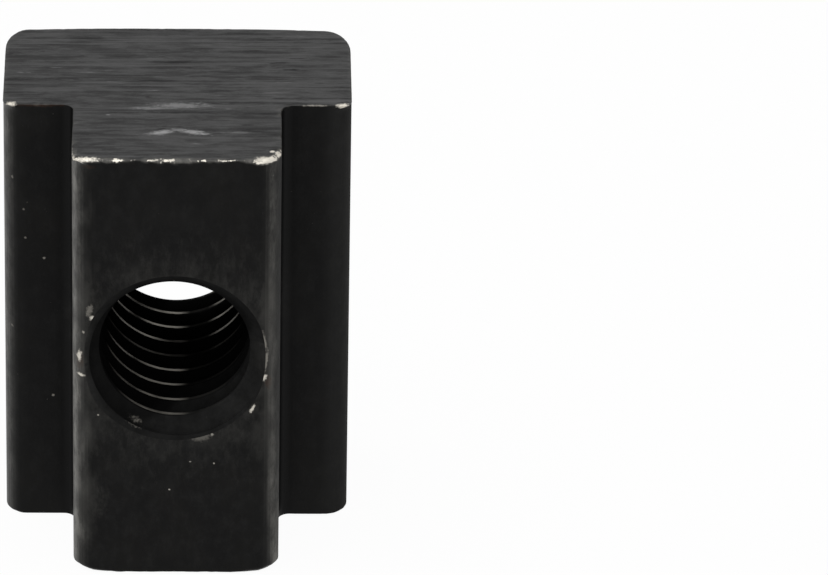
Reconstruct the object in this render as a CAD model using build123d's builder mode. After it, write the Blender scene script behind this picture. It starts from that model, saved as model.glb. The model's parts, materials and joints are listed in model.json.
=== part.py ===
"""T slot nut, sawn from cold-drawn T-section steel bar, drilled, countersunk on both sides and tapped.

Frame, in millimetres: the nut stands on one sawn end with +Z along its length. The stem, which fills
the throat of the table slot, faces -Y, and the wide base, which runs in the undercut, faces +Y. The
origin is the middle of the bottom of the nut's bounding box.
"""

import os

from build123d import *

# Bar section
base_width = 18.3
base_thickness = 8.95
stem_width = 10.9
stem_height = 6.25

# Drawing leaves the bar's corners rounder up the sides than across them
base_corner_across = 1.4
base_corner_up = 2.6
shoulder_corner_across = 1.1
shoulder_corner_up = 1.4
stem_corner_across = 1.25
stem_corner_up = 1.4
neck_radius = 0.6

# Saw cut
nut_length = 24.75

# Hole, at the 5/16 in tapping drill of a 3/8-16 thread
bore_diameter = 7.94
bore_height = 13.0
bore_offset = -0.1
stem_countersink_diameter = 9.8
base_countersink_diameter = 10.8
countersink_angle = 90

# Levels of the section, from the stem's face to the base's face
section_height = base_thickness + stem_height
stem_face_y = -section_height / 2
shoulder_y = stem_face_y + stem_height
base_face_y = section_height / 2
half_base = base_width / 2
half_stem = stem_width / 2

with BuildPart() as t_slot_nut:
    # The bar: half of the T outline, from the middle of the base round to the middle of the stem
    with BuildSketch(Plane.XY):
        with BuildLine():
            base_corner = EllipticalCenterArc(
                (half_base - base_corner_across, base_face_y - base_corner_up),
                base_corner_across,
                base_corner_up,
                start_angle=0,
                arc_size=90,
            )
            shoulder_corner = EllipticalCenterArc(
                (half_base - shoulder_corner_across, shoulder_y + shoulder_corner_up),
                shoulder_corner_across,
                shoulder_corner_up,
                start_angle=270,
                arc_size=90,
            )
            neck = TangentArc(
                (half_stem + neck_radius, shoulder_y),
                (half_stem, shoulder_y - neck_radius),
                tangent=(-1, 0),
            )
            stem_corner = EllipticalCenterArc(
                (half_stem - stem_corner_across, stem_face_y + stem_corner_up),
                stem_corner_across,
                stem_corner_up,
                start_angle=270,
                arc_size=90,
            )
            Line((0, base_face_y), base_corner @ 1)
            Line(base_corner @ 0, shoulder_corner @ 1)
            Line(shoulder_corner @ 0, neck @ 0)
            Line(neck @ 1, stem_corner @ 1)
            Line(stem_corner @ 0, (0, stem_face_y))
            mirror(about=Plane.YZ)
        make_face()
    extrude(amount=nut_length)

    # The hole, countersunk from the stem's face and again from the base's face
    stem_face = Plane((bore_offset, stem_face_y, bore_height), x_dir=(1, 0, 0), z_dir=(0, -1, 0))
    base_face = Plane((bore_offset, base_face_y, bore_height), x_dir=(1, 0, 0), z_dir=(0, 1, 0))
    with Locations(stem_face):
        CounterSinkHole(
            bore_diameter / 2,
            stem_countersink_diameter / 2,
            depth=section_height,
            counter_sink_angle=countersink_angle,
        )
    with Locations(base_face):
        CounterSinkHole(
            bore_diameter / 2,
            base_countersink_diameter / 2,
            depth=section_height,
            counter_sink_angle=countersink_angle,
        )

t_slot_nut.part.label = "t_slot_nut"
os.makedirs("parts", exist_ok=True)
export_step(t_slot_nut.part, "parts/t_slot_nut.step")
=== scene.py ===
import json
import math

import bmesh
import bpy
from mathutils import Matrix, Vector, kdtree, noise


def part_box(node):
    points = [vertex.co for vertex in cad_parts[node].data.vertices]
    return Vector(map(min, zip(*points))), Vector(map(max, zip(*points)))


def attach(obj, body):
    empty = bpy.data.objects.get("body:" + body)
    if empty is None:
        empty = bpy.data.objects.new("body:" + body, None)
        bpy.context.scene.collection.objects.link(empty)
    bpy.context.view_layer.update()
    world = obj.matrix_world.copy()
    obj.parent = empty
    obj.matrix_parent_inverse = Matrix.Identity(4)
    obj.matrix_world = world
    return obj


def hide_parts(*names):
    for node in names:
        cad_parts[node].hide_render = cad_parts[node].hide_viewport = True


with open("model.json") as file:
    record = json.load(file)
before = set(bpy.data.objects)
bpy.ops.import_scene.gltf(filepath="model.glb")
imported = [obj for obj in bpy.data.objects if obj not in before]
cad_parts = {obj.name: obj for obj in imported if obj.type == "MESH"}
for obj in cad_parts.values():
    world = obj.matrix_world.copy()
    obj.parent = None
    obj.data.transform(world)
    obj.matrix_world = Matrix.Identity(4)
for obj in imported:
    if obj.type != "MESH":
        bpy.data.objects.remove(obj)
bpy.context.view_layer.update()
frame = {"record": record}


# The blank is one length of cold-drawn T-section steel bar, in one piece with its stem.
# The drawing die leaves the long corners rounder up the sides than across them, and a small
# radius in the necks where the stem meets the shoulders.
MM = 0.001
low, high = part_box("t_slot_nut")
mounts = {mount["name"]: mount for mount in frame["record"]["mounts"]}
shoulder_y = mounts["shoulder_left"]["pos_m"][1]
stem_half_width = 5.45 * MM
base_corner = (1.4 * MM, 2.6 * MM)
shoulder_corner = (1.1 * MM, 1.4 * MM)
stem_corner = (1.25 * MM, 1.4 * MM)
neck_radius = 0.6 * MM
corner_steps = 9
grid_across = 0.25 * MM
grid_up_section = 0.15 * MM
grid_along = 0.3 * MM
end_rows = [row * MM for row in (0.05, 0.11, 0.18, 0.26, 0.36, 0.48, 0.62)]


def round_corners(section, corners, across, up):
    """Cuts corners `across` wide and `up` high: round ones, in a section squashed along Y."""
    squash = across / up
    bmesh.ops.scale(section, verts=section.verts, vec=(1, squash, 1))
    bmesh.ops.bevel(section, geom=corners, offset=across, segments=corner_steps, profile=0.5,
                    affect="VERTICES", material=-1)
    bmesh.ops.scale(section, verts=section.verts, vec=(1, 1 / squash, 1))


def cut_rows(bar, axis, places):
    """Parts the faces at each place along one axis, so that later wear has points to move."""
    for place in places:
        through, facing = Vector(), Vector()
        through[axis] = place
        facing[axis] = 1
        everything = bar.verts[:] + bar.edges[:] + bar.faces[:]
        bmesh.ops.bisect_plane(bar, geom=everything, dist=1e-7, plane_co=through, plane_no=facing)


def evenly(start, end, step):
    """Places between start and end, about one step apart, without the two ends."""
    count = round((end - start) / step)
    return [start + (end - start) * index / count for index in range(1, count)]


bar = bmesh.new()
section_points = (
    (high.x, high.y), (high.x, shoulder_y), (stem_half_width, shoulder_y), (stem_half_width, low.y),
    (-stem_half_width, low.y), (-stem_half_width, shoulder_y), (low.x, shoulder_y), (low.x, high.y),
)
section_corners = [bar.verts.new((x, y, low.z)) for x, y in section_points]
bar.faces.new(section_corners)
base_pair = [section_corners[0], section_corners[7]]
shoulder_pair = [section_corners[1], section_corners[6]]
neck_pair = [section_corners[2], section_corners[5]]
stem_pair = [section_corners[3], section_corners[4]]
round_corners(bar, neck_pair, neck_radius, neck_radius)
round_corners(bar, stem_pair, *stem_corner)
round_corners(bar, shoulder_pair, *shoulder_corner)
round_corners(bar, base_pair, *base_corner)
cut_rows(bar, 0, evenly(low.x, high.x, grid_across))
cut_rows(bar, 1, evenly(low.y, high.y, grid_up_section))

blank = bmesh.ops.extrude_face_region(bar, geom=bar.faces[:], use_keep_orig=True)
risen = [part for part in blank["geom"] if isinstance(part, bmesh.types.BMVert)]
bmesh.ops.translate(bar, verts=risen, vec=(0, 0, high.z - low.z))
cut_rows(bar, 2, [low.z + row for row in end_rows] + [high.z - row for row in end_rows])
cut_rows(bar, 2, evenly(low.z + end_rows[-1], high.z - end_rows[-1], grid_along))
bmesh.ops.recalc_face_normals(bar, faces=bar.faces)
DRAWN, SAWN, BORED = range(3)
for face in bar.faces:
    face.material_index = SAWN if abs(face.normal.z) > 0.5 else DRAWN


def finished_mesh(mesh_name, made):
    """Turns a bmesh into a mesh and lets the bmesh go."""
    mesh = bpy.data.meshes.new(mesh_name)
    made.to_mesh(mesh)
    made.free()
    return mesh


def add_piece(piece_name, mesh):
    """Puts the mesh into the scene as an object at the origin."""
    piece = bpy.data.objects.new(piece_name, mesh)
    bpy.context.scene.collection.objects.link(piece)
    return piece


nut = add_piece("blackened_nut", finished_mesh("blackened_nut", bar))


# The hole goes through the stem and base. It is drilled, countersunk from both sides and then
# tapped right-handed, so the full thread runs out into a plain cone at each face.
thread = mounts["thread"]
bore_x, bore_z = thread["pos_m"][0], thread["pos_m"][2]
minor_radius = thread["dims"]["r_mm"] * MM
major_radius = 4.7625 * MM
pitch = 1.5875 * MM
crest_flat = pitch / 4
root_flat = pitch / 8
flank_run = (pitch - crest_flat - root_flat) / 2
crest_y = 4.62 * MM
turn_steps = 90
stem_rim_radius = 4.9 * MM
base_rim_radius = 5.4 * MM
cutter_overrun = 0.6 * MM


def add_tap():
    """The tap as a solid: one pitch of tooth, screwed along the hole, with its ends cut flat."""
    tap = bmesh.new()
    turns = math.ceil((high.y - low.y) / pitch) + 3
    start = crest_y + pitch * math.ceil((high.y - crest_y) / pitch + 1)
    tooth = (
        (start + crest_flat / 2, minor_radius),
        (start - crest_flat / 2, minor_radius),
        (start - crest_flat / 2 - flank_run, major_radius),
        (start + crest_flat / 2 + flank_run - pitch, major_radius),
        (start + crest_flat / 2 - pitch, minor_radius),
    )
    corners = [tap.verts.new((bore_x, y, bore_z - radius)) for y, radius in tooth]
    for one, other in zip(corners, corners[1:]):
        tap.edges.new((one, other))
    bmesh.ops.spin(tap, geom=tap.verts[:] + tap.edges[:], cent=(bore_x, 0, bore_z), axis=(0, -1, 0),
                   dvec=(0, -pitch / turn_steps, 0), angle=math.tau * turns,
                   steps=turn_steps * turns, use_merge=False, use_duplicate=False)
    bmesh.ops.remove_doubles(tap, verts=tap.verts, dist=1e-6)
    for end_y, facing in ((low.y - cutter_overrun, -1), (high.y + cutter_overrun, 1)):
        everything = tap.verts[:] + tap.edges[:] + tap.faces[:]
        bmesh.ops.bisect_plane(tap, geom=everything, dist=1e-7, plane_co=(0, end_y, 0),
                               plane_no=(0, facing, 0), clear_outer=True)
    rims = [edge for edge in tap.edges if edge.is_boundary]
    bmesh.ops.holes_fill(tap, edges=rims, sides=0)
    bmesh.ops.recalc_face_normals(tap, faces=tap.faces)
    for face in tap.faces:
        face.material_index = BORED
    return add_piece("tap", finished_mesh("tap", tap))


def add_countersink(face_y, outward, rim_radius):
    """A 90 degree cone that reaches from inside the bore to a little outside the face it sinks."""
    tip_radius = minor_radius - cutter_overrun
    mouth_radius = rim_radius + cutter_overrun
    cone_height = mouth_radius - tip_radius
    middle_y = face_y + outward * (cutter_overrun - cone_height / 2)
    turned = Matrix.Rotation(-outward * math.pi / 2, 4, "X")
    place = Matrix.Translation((bore_x, middle_y, bore_z)) @ turned
    cone = bmesh.new()
    bmesh.ops.create_cone(cone, cap_ends=True, segments=turn_steps * 2, radius1=tip_radius,
                          radius2=mouth_radius, depth=cone_height, matrix=place)
    bmesh.ops.recalc_face_normals(cone, faces=cone.faces)
    for face in cone.faces:
        face.material_index = BORED
    return add_piece("countersink", finished_mesh("countersink", cone))


def bore_out(piece, cutter):
    """Takes the cutter's form out of the piece for good, then removes the cutter."""
    cut = piece.modifiers.new("cut", "BOOLEAN")
    cut.operation = "DIFFERENCE"
    cut.solver = "EXACT"
    cut.object = cutter
    depsgraph = bpy.context.evaluated_depsgraph_get()
    bored = bpy.data.meshes.new_from_object(piece.evaluated_get(depsgraph))
    piece.modifiers.clear()
    piece.data = bored
    bpy.data.objects.remove(cutter)


# Every face is blackened in hot oxide salts, which leaves the steel's own texture: fine draw lines
# along the bar, torn saw lines across the ends and turning marks in the hole. Use has rubbed it
# grey, knocked it bright and stained it. Painted light and shade are laid over that too: a painted
# highlight with the rub on the long edges, painted highlights on the thread's crests, painted shade
# in the necks, on the countersinks and at the left of the sawn end, and painted light on the right
# ledge and at the lower right of the hole. How bare and how rubbed or highlighted is stored at the
# mesh's points.
oxide_colour = (0.0026, 0.0026, 0.0025, 1)
oxide_brown = (0.0048, 0.0046, 0.0040, 1)
oxide_cloud = (0.017, 0.017, 0.0165, 1)
speck_colour = (0.3, 0.29, 0.26, 1)
# Near black, for grime with painted shade in the necks.
neck_grime_and_shade_colour = (0.0005, 0.0005, 0.0005, 1)
# Grey of rubbed oxide, also used for the painted highlight along the long edges.
rubbed_and_highlight_colour = (0.17, 0.165, 0.152, 1)
rust_colour = (0.055, 0.026, 0.014, 1)
steel_colour = (0.72, 0.68, 0.60, 1)
sawn_colour = (0.066, 0.066, 0.066, 1)
sawn_raised = (0.086, 0.086, 0.086, 1)
sawn_band = (0.014, 0.014, 0.014, 1)
sawn_pit = (0.004, 0.004, 0.004, 1)
sawn_dark = (0.002, 0.002, 0.002, 1)
scuffed_colour = (0.31, 0.31, 0.31, 1)
bored_colour = (0.0045, 0.0045, 0.0045, 1)
sunk_colour = (0.029, 0.029, 0.0285, 1)
drawn_dullness = 0.42
sawn_dullness = 0.55
bored_dullness = 0.45
edge_dulling = 0.45
oxide_sheen = 0.10
bored_sheen = 0.0
bare_metal = 0.55
# How bright the painted highlights on the thread's crests are.
crest_highlight_strength = 0.55
draw_line_depth = 0.006 * MM
drawn_grain_depth = 0.012 * MM
saw_line_depth = 0.02 * MM
sawn_grain_depth = 0.01 * MM
bored_grain_depth = 0.006 * MM


def add_node(tree, kind, settings=(), **inputs):
    """Adds a shader node, with its own options in settings and a value or an output per input."""
    added = tree.nodes.new(kind)
    for option, choice in dict(settings).items():
        setattr(added, option, choice)
    for socket_name, value in inputs.items():
        by_place = socket_name[1:].isdigit()
        socket = added.inputs[int(socket_name[1:]) if by_place else socket_name.replace("_", " ")]
        if isinstance(value, bpy.types.NodeSocket):
            tree.links.new(value, socket)
        else:
            socket.default_value = value
    return added


def math_node(tree, operation, one, other=0.0):
    """One step of arithmetic on plain values or on other nodes' outputs."""
    return add_node(tree, "ShaderNodeMath", {"operation": operation}, i0=one, i1=other).outputs[0]


def times(tree, one, other):
    return math_node(tree, "MULTIPLY", one, other)


def plus(tree, one, other):
    return math_node(tree, "ADD", one, other)


def minus(tree, one, other):
    return math_node(tree, "SUBTRACT", one, other)


def larger(tree, one, other):
    return math_node(tree, "MAXIMUM", one, other)


def ramp(tree, value, start, end):
    """0 at start, 1 at end, smooth between. Where start is the higher, it falls as the value rises."""
    smooth = add_node(tree, "ShaderNodeMapRange", {"interpolation_type": "SMOOTHSTEP"},
                      Value=value, From_Min=start, From_Max=end)
    return smooth.outputs["Result"]


def blend_colour(tree, share, one, other):
    """The first colour where the share is 0 and the second where it is 1."""
    mixed = add_node(tree, "ShaderNodeMix", {"data_type": "RGBA"})
    for place, value in ((0, share), (6, one), (7, other)):
        if isinstance(value, bpy.types.NodeSocket):
            tree.links.new(value, mixed.inputs[place])
        else:
            mixed.inputs[place].default_value = value
    return mixed.outputs[2]


def object_place(tree):
    """A point's place on the nut's own axes."""
    return add_node(tree, "ShaderNodeTexCoord").outputs["Object"]


def object_axes(tree):
    """The same place as three lengths: across, from the stem's face to the base's, and up the bar."""
    return tuple(add_node(tree, "ShaderNodeSeparateXYZ", Vector=object_place(tree)).outputs)


def hole_axes(tree):
    """How far a point is to the right of the hole's axis, above it and along it."""
    across, along, up = object_axes(tree)
    return minus(tree, across, bore_x), minus(tree, up, bore_z), along


def out_from_hole(tree, across, above):
    """Distance from the hole's axis."""
    centred = add_node(tree, "ShaderNodeCombineXYZ", X=across, Z=above).outputs[0]
    return add_node(tree, "ShaderNodeVectorMath", {"operation": "LENGTH"}, i0=centred).outputs["Value"]


def grain(tree, stretch, detail=3.0, roughness=0.55, seed=0.0, waviness=0.0):
    """Noise on the nut's own axes. Stretch is how many grains fit in a millimetre on each axis."""
    scaled = add_node(tree, "ShaderNodeMapping", Vector=object_place(tree), Location=(seed, seed, seed),
                      Scale=[per_mm / MM for per_mm in stretch])
    noise_node = add_node(tree, "ShaderNodeTexNoise", Vector=scaled.outputs[0], Scale=1.0, Detail=detail,
                          Roughness=roughness, Distortion=waviness)
    return noise_node.outputs["Fac"]


def marks(tree, places, breakup, solid=0.35):
    """Share inside placed marks: centre, turn, half sizes and strength of each, ragged by breakup."""
    place = object_place(tree)
    most = 0.0
    for centre, turn, half_sizes, strength in places:
        inside = add_node(tree, "ShaderNodeMapping", {"vector_type": "TEXTURE"}, Vector=place,
                          Location=[at * MM for at in centre], Rotation=turn,
                          Scale=[half * MM for half in half_sizes])
        out = add_node(tree, "ShaderNodeVectorMath", {"operation": "LENGTH"}, i0=inside.outputs[0])
        ragged = plus(tree, out.outputs["Value"], breakup)
        most = larger(tree, times(tree, ramp(tree, ragged, 1.05, solid), strength), most)
    return most


def worn_finish(name, colour_of, bump_of, roughness, specular, bare_and_highlight_of, stains=(), rubs=()):
    """A blackened finish with the wear and painted highlights laid over it: rubbed grey, rust stains
    and bare steel.
    """
    finish = bpy.data.materials.new(name)
    finish.use_nodes = True
    tree = finish.node_tree
    tree.nodes.clear()
    wear_and_highlight = add_node(tree, "ShaderNodeAttribute", {"attribute_name": "wear_and_highlight"})
    shares = add_node(tree, "ShaderNodeSeparateColor", Color=wear_and_highlight.outputs["Color"])
    fine = grain(tree, (7, 7, 7), detail=4, roughness=0.6, seed=3.1)
    fine_spread = times(tree, minus(tree, fine, 0.5), 1.6)
    patchy = ramp(tree, grain(tree, (2.2, 2.2, 1.0), detail=6, roughness=0.72, seed=7.7), 0.34, 0.64)
    bare = ramp(tree, plus(tree, shares.outputs[0], fine_spread), 0.36, 0.72)
    # Bare steel from knocks, and on the bored finish also the painted highlights on the thread's crests.
    bare = larger(tree, bare, bare_and_highlight_of(tree, fine_spread))
    # The rubbed share is rubbed grey with the painted highlight along the long edges in it.
    rubbed_and_highlight = times(tree, shares.outputs[1], plus(tree, times(tree, patchy, 0.75), 0.35))
    if rubs:
        soft_edge = times(tree, minus(tree, patchy, 0.5), 0.6)
        rubbed_and_highlight = plus(tree, rubbed_and_highlight, marks(tree, rubs, soft_edge, 0.0))
    rust = ramp(tree, fine_spread, 0.4, 0.9)
    if stains:
        rust = larger(tree, rust, marks(tree, stains, fine_spread))
    colour = blend_colour(tree, rubbed_and_highlight, colour_of(tree), rubbed_and_highlight_colour)
    colour = blend_colour(tree, rust, colour, rust_colour)
    colour = blend_colour(tree, bare, colour, steel_colour)
    even_roughness = roughness(tree) if callable(roughness) else roughness
    uneven_roughness = plus(tree, even_roughness, times(tree, fine_spread, 0.12))
    shader = add_node(tree, "ShaderNodeBsdfPrincipled")
    shader.inputs["Specular IOR Level"].default_value = specular
    tree.links.new(colour, shader.inputs["Base Color"])
    tree.links.new(times(tree, bare, bare_metal), shader.inputs["Metallic"])
    tree.links.new(uneven_roughness, shader.inputs["Roughness"])
    tree.links.new(bump_of(tree), shader.inputs["Normal"])
    tree.links.new(shader.outputs[0], add_node(tree, "ShaderNodeOutputMaterial").inputs[0])
    return finish


def bump(tree, height, depth, below=None):
    """Relief in the shading, as deep as depth, laid over the relief below it."""
    raised = add_node(tree, "ShaderNodeBump", Strength=1.0, Distance=depth, Height=height)
    if below is not None:
        tree.links.new(below, raised.inputs["Normal"])
    return raised.outputs[0]


def drawn_colour(tree):
    """Black oxide with brown patches, grey clouds, pale specks, grime and painted shade in the necks,
    painted light on the right-hand ledge and a rubbed rim.
    """
    across, deep, up = object_axes(tree)
    brown = ramp(tree, grain(tree, (0.45, 0.45, 0.3), detail=4, seed=1.3), 0.4, 0.72)
    colour = blend_colour(tree, brown, oxide_colour, oxide_brown)

    on_ledge = times(tree, ramp(tree, deep, shoulder_y - 0.5 * MM, shoulder_y - 0.1 * MM),
                     ramp(tree, deep, shoulder_y + 1.6 * MM, shoulder_y + 0.6 * MM))
    on_stem_top = times(tree, ramp(tree, deep, low.y + 2 * MM, low.y + 0.5 * MM),
                        ramp(tree, up, bore_z + 3 * MM, bore_z + 7 * MM))
    on_base = ramp(tree, deep, high.y - 1.5 * MM, high.y - 0.3 * MM)
    clouded = minus(tree, 0.5, plus(tree, times(tree, on_ledge, 0.18), times(tree, on_stem_top, 0.16)))
    clouded = plus(tree, clouded, times(tree, on_base, 0.4))
    clouds = ramp(tree, grain(tree, (1.3, 1.3, 0.9), detail=6, roughness=0.75, seed=6.0), 0.4, 0.75)
    # Painted light: the outer part of the right-hand ledge is greyed lighter.
    right_ledge_painted_light = times(tree, on_ledge, ramp(tree, across, 7.5 * MM, 8.5 * MM))
    clouds_and_painted_light = plus(tree, times(tree, clouds, clouded), times(tree, right_ledge_painted_light, 0.6))
    colour = blend_colour(tree, clouds_and_painted_light, colour, oxide_cloud)

    specks = add_node(tree, "ShaderNodeTexVoronoi", {"feature": "F1"}, Vector=object_place(tree),
                      Scale=0.8 / MM)
    near = ramp(tree, specks.outputs["Distance"], 0.07, 0.03)
    chosen = add_node(tree, "ShaderNodeSeparateColor", Color=specks.outputs["Color"])
    few = ramp(tree, chosen.outputs[0], 0.94, 1.0)
    colour = blend_colour(tree, times(tree, near, few), colour, speck_colour)

    # Grime with painted shade darkens the necks where the stem meets the shoulders.
    from_stem = minus(tree, math_node(tree, "ABSOLUTE", across), stem_half_width)
    neck_grime_and_shade = times(tree, ramp(tree, from_stem, 1.1 * MM, 0.2 * MM),
                    ramp(tree, deep, shoulder_y - 0.8 * MM, shoulder_y - 0.2 * MM))
    neck_grime_and_shade = times(tree, neck_grime_and_shade, ramp(tree, deep, shoulder_y + 0.8 * MM, shoulder_y + 0.3 * MM))
    colour = blend_colour(tree, neck_grime_and_shade, colour, neck_grime_and_shade_colour)

    right, above, _ = hole_axes(tree)
    rim = times(tree, ramp(tree, out_from_hole(tree, right, above), base_rim_radius + 1.3 * MM,
                           base_rim_radius),
                ramp(tree, grain(tree, (0.8, 0.8, 0.8), detail=5, roughness=0.7, seed=4.4), 0.4, 0.7))
    return blend_colour(tree, times(tree, rim, 0.05), colour, rubbed_and_highlight_colour)


def drawn_bump(tree):
    lines = bump(tree, grain(tree, (7, 7, 0.12), detail=4, roughness=0.7), draw_line_depth)
    return bump(tree, grain(tree, (5, 5, 5), detail=6, roughness=0.7), drawn_grain_depth, lines)


def drawn_roughness(tree):
    """The drawn faces are duller along the right-hand edges of the base and stem."""
    across, deep, _ = object_axes(tree)
    base_edge = times(tree, ramp(tree, across, 7.9 * MM, 8.9 * MM),
                      ramp(tree, deep, shoulder_y + 3 * MM, shoulder_y + 1 * MM))
    stem_edge = times(tree, ramp(tree, across, stem_half_width - 0.5 * MM, stem_half_width - 0.15 * MM),
                      ramp(tree, deep, low.y + 2.4 * MM, low.y + 1.2 * MM))
    dulled = larger(tree, base_edge, times(tree, stem_edge, 0.5))
    return plus(tree, drawn_dullness, times(tree, dulled, edge_dulling))


def sawn_surface_colour(tree):
    """Torn streaks across the bar with darker bands, pits and two pale scuffs on the stem's end, with
    painted shade darkening the end towards its left.
    """
    streaks = ramp(tree, grain(tree, (0.09, 2.9, 1), detail=4, roughness=0.62, seed=2.2, waviness=0.08),
                   0.34, 0.64)
    colour = blend_colour(tree, streaks, sawn_dark, sawn_colour)
    # Painted shade: the sawn end grows darker towards its left.
    painted_shade_leftward = ramp(tree, object_axes(tree)[0], 9 * MM, -9 * MM)
    colour = blend_colour(tree, times(tree, painted_shade_leftward, 0.26), colour, sawn_dark)
    bands = ramp(tree, grain(tree, (0.06, 0.9, 1), detail=3, roughness=0.6, seed=8.4, waviness=0.1),
                 0.36, 0.62)
    colour = blend_colour(tree, times(tree, bands, 0.6), colour, sawn_band)
    raised = ramp(tree, grain(tree, (0.45, 2.0, 1), detail=5, roughness=0.7, seed=5.5, waviness=0.2),
                  0.36, 0.66)
    colour = blend_colour(tree, times(tree, raised, 0.55), colour, sawn_raised)
    torn = ramp(tree, grain(tree, (0.3, 2.6, 1), detail=5, roughness=0.7, seed=4.6, waviness=0.15),
                0.39, 0.29)
    colour = blend_colour(tree, torn, colour, sawn_pit)
    pale = ramp(tree, grain(tree, (0.4, 3.4, 1), detail=5, roughness=0.7, seed=9.9, waviness=0.15),
                0.62, 0.78)
    colour = blend_colour(tree, times(tree, pale, 0.4), colour, scuffed_colour)
    ragged = grain(tree, (1.6, 5, 1), detail=5, roughness=0.8, seed=0.7, waviness=0.5)
    rough_edge = times(tree, minus(tree, ragged, 0.5), 3.6)
    colour = blend_colour(tree, marks(tree, end_pits, rough_edge), colour, sawn_pit)
    return blend_colour(tree, marks(tree, end_scuffs, rough_edge, 0.15), colour, scuffed_colour)


def sawn_bump(tree):
    streaks = bump(tree, grain(tree, (0.2, 7, 1), detail=5, roughness=0.75), saw_line_depth)
    return bump(tree, grain(tree, (6, 6, 6), detail=5, roughness=0.7), sawn_grain_depth, streaks)


def bored_surface_colour(tree):
    """Near black in the thread and greyer out on the countersinks. Painted light takes the grey into
    the hole at its lower right, and painted shade darkens it at the right, below and at the top.
    """
    across, above, along = hole_axes(tree)
    outward = math_node(tree, "ABSOLUTE", along)
    # Painted light: the grey reaches further into the hole at its lower right.
    painted_light_lower_right = ramp(tree, minus(tree, across, above), 2.0 * MM, 5.5 * MM)
    outward = plus(tree, outward, times(tree, painted_light_lower_right, 3.0 * MM))
    mouth = times(tree, ramp(tree, outward, -low.y - 2.2 * MM, -low.y - 1.0 * MM), 0.3)
    rim = times(tree, ramp(tree, outward, -low.y - 0.8 * MM, -low.y), 0.7)
    # Painted shade: the grey is darker at the right, below and at the top.
    painted_shade_side = larger(tree, ramp(tree, across, 2 * MM, 4.5 * MM),
                         ramp(tree, above, -1.5 * MM, -4.5 * MM))
    side = minus(tree, 1.05, times(tree, painted_shade_side, 0.47))
    painted_shade_top = times(tree, ramp(tree, above, 0.5 * MM, 4.5 * MM), 0.55)
    side = times(tree, side, minus(tree, 1.0, painted_shade_top))
    cloudy = ramp(tree, grain(tree, (1.3, 1.3, 1.3), detail=6, roughness=0.75, seed=2.9), 0.25, 0.7)
    share = times(tree, times(tree, plus(tree, mouth, rim), side),
                  plus(tree, times(tree, cloudy, 0.6), 0.5))
    return blend_colour(tree, share, bored_colour, sunk_colour)


def crest_highlights_and_rim_knocks(tree, breakup):
    """Painted highlights on the thread's crests: a bright steel line along one half of each, on the
    hole's low side, left of the middle and again at the right of the far turns, with one turn dimmer.
    Bare steel where the countersink rim is knocked goes with them."""
    across, above, along = hole_axes(tree)
    on_crest = ramp(tree, out_from_hole(tree, across, above), minor_radius + 0.06 * MM,
                    minor_radius + 0.01 * MM)
    turn = math_node(tree, "DIVIDE", math_node(tree, "ARCTAN2", across, times(tree, above, -1.0)),
                     math.tau)
    pitches = math_node(tree, "DIVIDE", minus(tree, along, crest_y), pitch)
    in_pitch = math_node(tree, "FRACT", plus(tree, plus(tree, pitches, turn), 20.5))
    highlighted_half = times(tree, ramp(tree, in_pitch, 0.45, 0.50), ramp(tree, in_pitch, 0.64, 0.58))

    nearer = times(tree, ramp(tree, along, -3.5 * MM, -7 * MM), 0.28)
    height = plus(tree, math_node(tree, "DIVIDE", above, minor_radius), nearer)
    low_side = times(tree, ramp(tree, height, -0.38, -0.66),
                     minus(tree, 1.0, times(tree, nearer, 1.6)))
    towards_middle = plus(tree, times(tree, ramp(tree, across, -4.2 * MM, -0.8 * MM), 0.5), 0.5)
    left_side = times(tree, ramp(tree, across, 0.95 * MM, 0.0), towards_middle)
    right_end = times(tree, ramp(tree, across, 1.6 * MM, 2.3 * MM),
                      ramp(tree, along, -2.0 * MM, 3.0 * MM))
    lit = larger(tree, larger(tree, left_side, right_end), 0.06)

    patchy = ramp(tree, grain(tree, (0.4, 1.3, 0.4), detail=3, seed=5.0), 0.3, 0.62)
    # One turn's painted highlight is dimmer.
    from_dimmer_turn = math_node(tree, "ABSOLUTE", plus(tree, along, 0.15 * MM))
    dimmer_turn = times(tree, ramp(tree, from_dimmer_turn, 0.9 * MM, 0.5 * MM), 0.65)
    patchy = times(tree, patchy, minus(tree, 1.0, dimmer_turn))
    share = times(tree, times(tree, on_crest, highlighted_half),
                  times(tree, low_side, times(tree, lit, patchy)))
    return larger(tree, times(tree, share, crest_highlight_strength), marks(tree, rim_knocks, breakup))


def bored_bump(tree):
    return bump(tree, grain(tree, (5, 5, 5), detail=5, roughness=0.7), bored_grain_depth)


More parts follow.
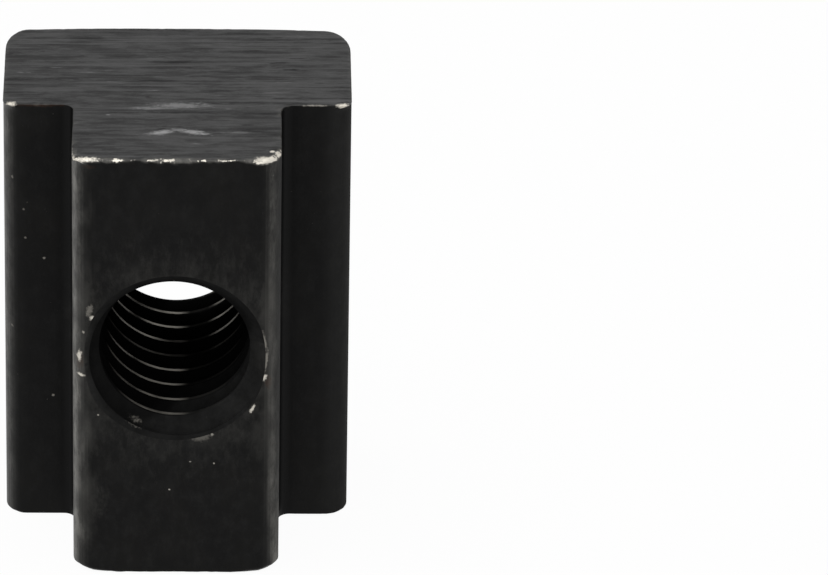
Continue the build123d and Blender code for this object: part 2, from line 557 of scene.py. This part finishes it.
# Placed marks: (centre, turn, half sizes, strength), in millimetres on the nut's own axes.
front = low.y / MM
top = high.z / MM
ledge = shoulder_y / MM
stem_knocks = (
    ((-4.42, front, 15.4), (0, 0.5, 0), (0.16, 0.6, 0.18), 0.8),
    ((-4.55, front, 15.8), (0, 0.3, 0), (0.20, 0.6, 0.45), 0.2),
    ((-4.85, front, 14.45), (0, 0, 0), (0.10, 0.6, 0.10), 0.5),
    ((-5.1, front, 12.95), (0, 0.12, 0), (0.16, 1.2, 0.45), 0.9),
    ((-5.0, front, 11.85), (0, 0, 0), (0.26, 1.2, 0.12), 0.9),
    ((4.61, front, 11.84), (0, 0, 0), (0.19, 0.6, 0.24), 0.9),
    ((4.72, front, 12.9), (0, 0.1, 0), (0.11, 0.6, 0.8), 0.28),
    ((4.62, front, 14.0), (0, -0.15, 0), (0.11, 0.6, 0.7), 0.26),
    ((4.0, front, 10.0), (0, 0.5, 0), (0.11, 0.6, 0.36), 0.9),
    ((1.3, front, 8.3), (0, 1.45, 0), (0.32, 0.6, 0.66), 0.14),
    ((1.9, front, 8.45), (0, 0, 0), (0.11, 0.6, 0.11), 0.4),
    ((1.6, front, 8.95), (0, 0, 0), (0.06, 0.6, 0.06), 0.6),
    ((-0.55, front, 8.5), (0, 0, 0), (0.07, 0.6, 0.06), 0.5),
    ((-4.1, front, 9.6), (0, 0, 0), (0.06, 0.6, 0.07), 0.5),
    ((-0.35, front, 5.1), (0, 0, 0), (0.06, 0.6, 0.06), 0.6),
    ((2.0, front, 6.7), (0, 0, 0), (0.06, 0.6, 0.06), 0.5),
    ((0.75, front, 6.8), (0, 0, 0), (0.07, 0.6, 0.05), 0.45),
    ((-7.03, ledge, 15.6), (0, 0, 0), (0.10, 0.5, 0.10), 0.4),
    ((-8.0, ledge, 16.8), (0, 0.4, 0), (0.09, 0.5, 0.08), 0.22),
    ((-8.1, ledge, 18.5), (0, 0, 0), (0.07, 0.5, 0.08), 0.2),
    ((-6.6, ledge, 7.3), (0, 0, 0), (0.09, 0.5, 0.09), 0.35),
    ((-8.7, ledge, 20.3), (0, 0, 0), (0.09, 0.5, 0.14), 0.25),
    ((-8.75, ledge, 11.4), (0, 0, 0), (0.08, 0.5, 0.12), 0.25),
)
rim_knocks = (
    ((-2.15, front + 0.35, 9.0), (0, 0.45, 0), (0.55, 0.5, 0.24), 0.22),
    ((1.55, front + 0.25, 9.15), (0, 0, 0), (0.14, 0.4, 0.12), 0.2),
)
corner_knocks = (
    ((-8.72, ledge, top), (0, 0, 0), (0.34, 0.35, 0.22), 1.0),
    ((8.68, ledge, top), (0, 0, 0), (0.46, 0.32, 0.24), 1.0),
    ((7.2, ledge, top), (0, 0, 0), (1.0, 0.12, 0.10), 0.35),
    ((4.95, front + 1.0, top), (0, 0, 0.3), (0.16, 0.14, 0.2), 0.9),
    ((-4.65, front + 0.05, top), (0, 0, 0), (0.85, 0.30, 0.20), 1.0),
    ((-5.36, front + 0.2, top - 0.3), (0, 0, 0), (0.14, 0.5, 0.5), 0.8),
    ((4.55, front + 0.2, top - 0.08), (0, 0, 0), (0.55, 0.35, 0.28), 0.75),
)
rubbed_places = (
    ((-4.9, front, 16.3), (0, 0.1, 0), (0.9, 1.2, 2.2), 0.14),
    ((-4.6, front, 4.4), (0, 0.1, 0), (1.1, 1.2, 1.9), 0.12),
    ((-4.7, front, 8.3), (0, -0.1, 0), (0.9, 1.2, 1.8), 0.10),
    ((-4.4, front, 11.0), (0, 0, 0), (0.9, 0.9, 1.6), 0.10),
    ((4.75, front, 15.6), (0, 0, 0), (0.9, 1.0, 3.4), 0.14),
    ((4.5, front, 8.2), (0, 0, 0), (1.1, 1.0, 2.2), 0.09),
    ((0.8, front, 7.9), (0, 0, 0), (3.4, 0.8, 1.0), 0.03),
    ((0.3, front, 13.0), (0, 0, 0), (9.5, 0.8, 7.5), 0.11),
    ((0.0, front, 21.5), (0, 0, 0), (4.0, 0.8, 1.2), 0.015),
)
rust_stains = (
    ((-5.1, front, 12.6), (0, 0.2, 0), (0.30, 0.9, 0.7), 0.35),
    ((4.85, front, 11.5), (0, 0, 0), (0.25, 0.9, 0.5), 0.35),
    ((-7.2, ledge, top), (0, 0, 0), (1.6, 0.3, 0.22), 0.45),
    ((-4.6, front, top - 0.45), (0, 0, 0), (0.5, 0.4, 0.16), 0.2),
)
end_scuffs = (
    ((-0.9, -4.5, top), (0, 0, 0.2), (0.75, 0.32, 0.5), 0.9),
    ((0.05, -4.2, top), (0, 0, 0), (0.5, 0.2, 0.5), 0.5),
    ((0.95, -4.5, top), (0, 0, -0.25), (0.85, 0.34, 0.5), 0.9),
    ((0.1, -1.4, top), (0, 0, 0), (1.8, 0.42, 0.5), 0.48),
    ((-1.2, -1.75, top), (0, 0, 0.02), (1.7, 0.2, 0.5), 0.4),
    ((-3.6, -2.5, top), (0, 0, 0), (0.18, 0.06, 0.5), 0.7),
    ((3.1, -4.45, top), (0, 0, 0), (0.9, 0.14, 0.5), 0.22),
    ((5.0, 0.1, top), (0, 0, 0.05), (1.0, 0.14, 0.5), 0.14),
    ((-8.2, 2.3, top), (0, 0, 0), (0.45, 0.1, 0.5), 0.25),
    ((-6.4, 2.9, top), (0, 0, 0), (0.55, 0.08, 0.5), 0.22),
    ((-4.6, 2.35, top), (0, 0, 0), (0.7, 0.08, 0.5), 0.2),
)
end_pits = (
    ((-1.55, -0.45, top), (0, 0, 0.7), (0.18, 0.24, 0.5), 0.85),
    ((0.6, -0.7, top), (0, 0, 0), (2.0, 0.09, 0.5), 0.55),
    ((0.0, -2.2, top), (0, 0, 0), (2.5, 0.13, 0.5), 0.75),
    ((-0.85, -4.08, top), (0, 0, 0.1), (0.34, 0.10, 0.5), 0.9),
    ((-4.5, -4.65, top), (0, 0, 0), (1.0, 0.16, 0.5), 0.7),
    ((-3.4, -6.4, top), (0, 0, 0), (0.9, 0.14, 0.5), 0.65),
    ((3.6, -3.6, top), (0, 0, 0), (0.45, 0.11, 0.5), 0.75),
    ((2.0, -3.1, top), (0, 0, 0), (1.6, 0.08, 0.5), 0.5),
    ((5.3, -0.6, top), (0, 0, 0.1), (0.6, 0.12, 0.5), 0.7),
    ((5.3, 3.55, top), (0, 0, 0.1), (0.6, 0.14, 0.5), 0.8),
    ((-6.8, 1.6, top), (0, 0, 0), (2.2, 0.13, 0.5), 0.6),
    ((-6.6, 3.9, top), (0, 0, 0), (2.2, 0.10, 0.5), 0.5),
    ((0.4, 4.0, top), (0, 0, 0), (1.6, 0.08, 0.5), 0.45),
    ((2.2, -7.2, top), (0, 0, 0), (0.35, 0.11, 0.5), 0.6),
    ((5.05, -6.4, top), (0, 0, 0.2), (0.28, 0.16, 0.5), 0.8),
)


def stem_knock_share(tree, breakup):
    return marks(tree, stem_knocks + corner_knocks, breakup)


def end_knock_share(tree, breakup):
    return marks(tree, corner_knocks, breakup)


finishes = (
    worn_finish("drawn_black", drawn_colour, drawn_bump, drawn_roughness, oxide_sheen,
                stem_knock_share, rust_stains, rubbed_places),
    worn_finish("sawn_black", sawn_surface_colour, sawn_bump, sawn_dullness, oxide_sheen,
                end_knock_share),
    worn_finish("bored_black", bored_surface_colour, bored_bump, bored_dullness, bored_sheen,
                crest_highlights_and_rim_knocks),
)
for finish in finishes:
    nut.data.materials.append(finish)
for cutter in (add_tap(), add_countersink(low.y, -1, stem_rim_radius),
               add_countersink(high.y, 1, base_rim_radius)):
    for finish in finishes:
        cutter.data.materials.append(finish)
    bore_out(nut, cutter)


# The ends are sawn: the blade leaves low ridges across the bar and a burr that fills the rounded
# corners of the upper end. Tumbling has chipped that end's edges back to bright steel and worn the
# stem's two lower corners back. The long rounded edges are rubbed grey, and a painted highlight is
# laid in with that rub, broad on the left edges and a narrow line on the right.
saw_ridge = 0.012 * MM
saw_drift = 0.03 * MM
chip_start = 0.05 * MM
chip_most = 0.5 * MM
chip_slope = 0.12 * MM
stem_front_y = low.y + 1.5 * MM
quiet_share = 0.3
foot_corner_wear = 0.6
foot_corner_reach = 2.4 * MM
# How far the rub and its painted highlight run past the long edges.
rub_and_highlight_fade_left = 1.7 * MM
rub_and_highlight_fade = 1.1 * MM
fully_turned = 0.999
crown_fall = 0.18 * MM
crown_half_width = 7.5 * MM
burr_height = 0.55 * MM
burr_width = 1.2 * MM
# Each burr: side of the nut, the square corner it fills, the size of that rounding, how full.
burrs = (
    (-1, high.x, high.y, base_corner, 0.12),
    (1, high.x, shoulder_y, shoulder_corner, 0.75),
    (-1, high.x, shoulder_y, shoulder_corner, 0.75),
    (-1, stem_half_width, low.y, stem_corner, 0.9),
    (1, stem_half_width, low.y, stem_corner, 0.15),
)


def section_outline(piece):
    """The points round the sawn end with the way into the steel at each, read before any wear."""
    mesh = bmesh.new()
    mesh.from_mesh(piece.data)
    found = []
    for vert in mesh.verts:
        ends = [face for face in vert.link_faces if face.material_index == SAWN]
        walls = [face for face in vert.link_faces if face.material_index == DRAWN]
        if ends and walls and vert.co.z > (low.z + high.z) / 2:
            inward = -sum((face.normal for face in walls), Vector())
            inward.z = 0
            found.append((Vector((vert.co.x, vert.co.y, 0)), inward.normalized()))
    mesh.free()
    return found


outline_points = section_outline(nut)
outline = kdtree.KDTree(len(outline_points))
for index, (point, inward) in enumerate(outline_points):
    outline.insert(point, index)
outline.balance()


def near_corner(point, x, y, reach):
    """1 at a corner of the section, falling to 0 at the reach, on both sides of the nut."""
    return max(0.0, 1 - math.hypot(abs(point.x) - x, point.y - y) / reach)


def chip_reach(point, end_sign):
    """How far an end's edge is knocked back: most on the upper end, along the stem and its corners."""
    corner = max(near_corner(point, stem_half_width, low.y, 1.9 * MM),
                 near_corner(point, high.x, shoulder_y, 1.0 * MM))
    stem_front = 0.22 if point.y < stem_front_y else 0.0
    coarse = noise.noise(Vector((point.x / (1.3 * MM), point.y / (1.3 * MM), 3.7 * end_sign)))
    fine = noise.noise(Vector((point.x / (0.35 * MM), point.y / (0.35 * MM), 9.1 * end_sign)))
    if point.x < 0:
        corner *= 0.45
    share = 0.4 * corner + stem_front + 0.16 * coarse + 0.22 * fine
    if end_sign < 0:
        foot_corner = near_corner(point, stem_half_width, low.y, foot_corner_reach)
        share = quiet_share * share + foot_corner_wear * foot_corner
    elif point.y > shoulder_y + 0.5 * MM:
        share *= quiet_share
    return chip_start + (chip_most - chip_start) * min(1.0, max(0.0, share))


def bare_share(point):
    """How bright the upper end's chipped edge is: broken dashes along the stem, solid at corners."""
    if point.y > shoulder_y + 0.6 * MM:
        return 0.0
    dashes = noise.noise(Vector((point.x / (0.55 * MM), point.y / (0.55 * MM), 21.0)))
    corner = max(near_corner(point, stem_half_width, low.y, 1.7 * MM),
                 near_corner(point, high.x, shoulder_y, 1.3 * MM))
    stem_front = 0.36 if point.y < stem_front_y else 0.0
    return min(1.0, max(0.0, stem_front + 0.9 * dashes + corner))


def burr_shift(point, from_end):
    """Moves a point of a rounded corner towards the square corner, less the further from the end."""
    fading = max(0.0, 1 - from_end / burr_height)
    for side, x, y, (across, up), fill in burrs:
        inset_x = x - side * point.x
        inset_y = abs(point.y - y)
        if -1e-6 <= inset_x <= across and inset_y <= up:
            return Vector((side * inset_x, y - point.y, 0)) * (fill * fading * fading)
    return Vector()


def saw_height(x, y, end_sign):
    """Depth of the saw's ridges below the end's highest plane."""
    drift = noise.noise(Vector((x / (9 * MM), y / (1.4 * MM), 5.0 * end_sign)))
    ridge = noise.noise(Vector((x / (5 * MM), y / (0.32 * MM), 11.0 * end_sign)))
    return saw_drift * (0.5 - 0.5 * drift) + saw_ridge * (0.5 - 0.5 * ridge)


def past_corner(point):
    """How far along the flat side a point lies from the rounded corner nearest to it."""
    if point.y < shoulder_y:
        return point.y - low.y - stem_corner[1]
    return min(point.y - shoulder_y - shoulder_corner[1], high.y - base_corner[1] - point.y)


def edge_rub_and_highlight(inward, point, z):
    """Rubbed grey and painted highlight on the long edges and a little past them: broad on the left,
    a line on the right.
    """
    if (abs(point.x) < stem_half_width + 1.5 * neck_radius
            and point.y > shoulder_y - 1.5 * neck_radius):
        return 0.0
    turned = abs(inward.x)
    least = 0.0
    fading = 1.0
    if turned > fully_turned:
        least = 0.04
        fade = rub_and_highlight_fade_left if point.y < shoulder_y and point.x < 0 else rub_and_highlight_fade
        fading = max(0.0, 1 - max(0.0, past_corner(point)) / fade) ** 2
    # The share is rubbed grey and painted highlight together.
    rub_and_highlight = min(1.0, max(0.0, (turned - 0.3) / 0.63))
    patch = noise.noise(Vector((inward.x * 3, z / (1.6 * MM), 31.0)))
    if point.y > shoulder_y - 0.5 * MM:
        rub_and_highlight = 0.5 * rub_and_highlight ** 3 * (0.72 + 0.28 * min(1.0, z / (16 * MM)) if point.x < 0 else 0.08)
        if point.y > shoulder_y + 3 * MM:
            rub_and_highlight *= 0.6
    elif point.x < 0:
        rub_and_highlight = 0.9 * rub_and_highlight ** 2.3 + 0.1 * min(1.0, turned / 0.35) * max(0.0, 0.5 + 2 * patch)
    else:
        lower = max(0.0, 1 - z / (10 * MM))
        rub_and_highlight = (0.39 + 0.5 * lower) * math.exp(-((turned - 0.68 - 0.2 * lower) / 0.2) ** 2)
    return min(1.0, max(least, fading * rub_and_highlight * (0.9 + 0.7 * patch)))


def crown(place):
    """The base's clamping face falls away a little towards its long edges."""
    depth = max(0.0, (place.y - shoulder_y) / (high.y - shoulder_y))
    return crown_fall * min(1.0, abs(place.x) / crown_half_width) ** 3 * depth ** 2


wear_and_highlight = nut.data.attributes.new("wear_and_highlight", "FLOAT_COLOR", "POINT")
middle_z = (low.z + high.z) / 2
for vert in nut.data.vertices:
    place = vert.co.copy()
    bare, rubbed_and_highlight = 0.0, 0.0
    end_sign = 1 if place.z > middle_z else -1
    end_z = high.z if end_sign > 0 else low.z
    from_end = abs(end_z - place.z)
    flat = Vector((place.x, place.y, 0))
    edge_point, inward = outline_points[outline.find(flat)[1]]
    from_side = max(0.0, (flat - edge_point).dot(inward))
    on_end = from_end < 1e-7
    on_wall = from_side < 2e-6
    if on_wall and not on_end:
        # The long walls take rubbed grey and a painted highlight.
        rubbed_and_highlight = edge_rub_and_highlight(inward, edge_point, place.z)
    if on_end or on_wall:
        reach = chip_reach(edge_point, end_sign)
        from_edge = from_side if on_end else from_end
        back = max(0.0, reach - from_edge) / 2
        vert.co += inward * back
        vert.co.z -= end_sign * back
        in_chip = min(1.0, max(0.0, (reach * 1.25 - from_edge) / chip_slope))
        if end_sign > 0:
            bare = in_chip * bare_share(edge_point)
            rubbed_and_highlight = max(rubbed_and_highlight, 0.8 * in_chip * min(1.0, reach / (0.2 * MM)))
        else:
            rubbed_and_highlight = max(rubbed_and_highlight, 0.3 * in_chip)
        if end_sign > 0 and on_wall:
            vert.co += burr_shift(edge_point, from_end)
    if on_end and end_sign > 0 and not on_wall:
        vert.co += burr_shift(edge_point, 0) * max(0.0, 1 - from_side / burr_width)
    if on_end:
        vert.co.z -= end_sign * saw_height(place.x, place.y, end_sign)
    vert.co.y -= crown(place)
    wear_and_highlight.data[vert.index].color = (bare, rubbed_and_highlight, 0.0, 0.0)

for polygon in nut.data.polygons:
    polygon.use_smooth = True
nut.data.set_sharp_from_angle(angle=math.radians(32))
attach(nut, "root")
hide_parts("t_slot_nut")


# The nut stands on one sawn end on a plain white table, in the light of a wide overhead softbox and
# white walls all round.
floor_glow = 0.96
wall_light = 0.5
softbox_width = 0.5
softbox_watts = 1.55


def seen_itself(tree):
    """1 where a ray shows the background itself: to the camera, in a reflection or through glass."""
    rays = add_node(tree, "ShaderNodeLightPath").outputs
    return larger(tree, rays["Is Camera Ray"],
                  larger(tree, rays["Is Glossy Ray"], rays["Is Transmission Ray"]))


def plain_floor(name):
    """White paint, which mostly glows where it is seen, so that the nut's shadow stays faint."""
    finish = bpy.data.materials.new(name)
    finish.use_nodes = True
    tree = finish.node_tree
    tree.nodes.clear()
    paint = add_node(tree, "ShaderNodeBsdfDiffuse", Color=(0.9, 0.9, 0.9, 1))
    glow = add_node(tree, "ShaderNodeEmission", Color=(1, 1, 1, 1), Strength=1.0)
    mixed = add_node(tree, "ShaderNodeMixShader", i0=times(tree, seen_itself(tree), floor_glow),
                     i1=paint.outputs[0], i2=glow.outputs[0])
    tree.links.new(mixed.outputs[0], add_node(tree, "ShaderNodeOutputMaterial").inputs[0])
    return finish


table = bmesh.new()
bmesh.ops.create_circle(table, cap_ends=True, segments=64, radius=3.0)
floor = add_piece("table", finished_mesh("table", table))
floor.data.materials.append(plain_floor("white_table"))

world = bpy.data.worlds.new("white_walls")
bpy.context.scene.world = world
world.use_nodes = True
sky = world.node_tree
sky.nodes.clear()
lighting = add_node(sky, "ShaderNodeBackground", Color=(1, 1, 1, 1), Strength=wall_light)
showing = add_node(sky, "ShaderNodeBackground", Color=(1, 1, 1, 1), Strength=1.0)
walls = add_node(sky, "ShaderNodeMixShader", i0=seen_itself(sky), i1=lighting.outputs[0],
                 i2=showing.outputs[0])
sky.links.new(walls.outputs[0], add_node(sky, "ShaderNodeOutputWorld").inputs[0])

softbox = bpy.data.lights.new("softbox", "AREA")
softbox.shape = "DISK"
softbox.size = softbox_width
softbox.energy = softbox_watts
softbox_stand = bpy.data.objects.new("softbox", softbox)
softbox_stand.location = (-0.12, -0.05, 0.55)
softbox_stand.rotation_euler = (-softbox_stand.location).to_track_quat("-Z", "Y").to_euler()
bpy.context.scene.collection.objects.link(softbox_stand)


# The camera has a long lens and looks down on the nut's stem side from about half a metre away. The
# nut stands to the left of the view, turned and tilted by a hair.
look_down = math.radians(28.5)
turned_left = math.radians(-0.3)
camera_roll = math.radians(0.12)
camera_distance = 0.453
aim_right = 0.01261
aim_up = 0.00066
camera = bpy.data.cameras.new("camera")
camera.sensor_width = 36
camera.lens = 370
camera_stand = bpy.data.objects.new("camera", camera)
forward = Vector((math.sin(turned_left) * math.cos(look_down),
                  math.cos(turned_left) * math.cos(look_down),
                  -math.sin(look_down)))
centre = Vector((0, 0, (low.z + high.z) / 2))
level = forward.to_track_quat("-Z", "Y").to_matrix().to_4x4()
pan = Matrix.Rotation(-math.atan(aim_right / camera_distance), 4, "Y")
tilt = Matrix.Rotation(math.atan(aim_up / camera_distance), 4, "X")
roll = Matrix.Rotation(camera_roll, 4, "Z")
camera_stand.matrix_world = (Matrix.Translation(centre - forward * camera_distance)
                             @ level @ roll @ pan @ tilt)
bpy.context.scene.collection.objects.link(camera_stand)
bpy.context.scene.camera = camera_stand
bpy.context.scene.view_settings.view_transform = "Standard"
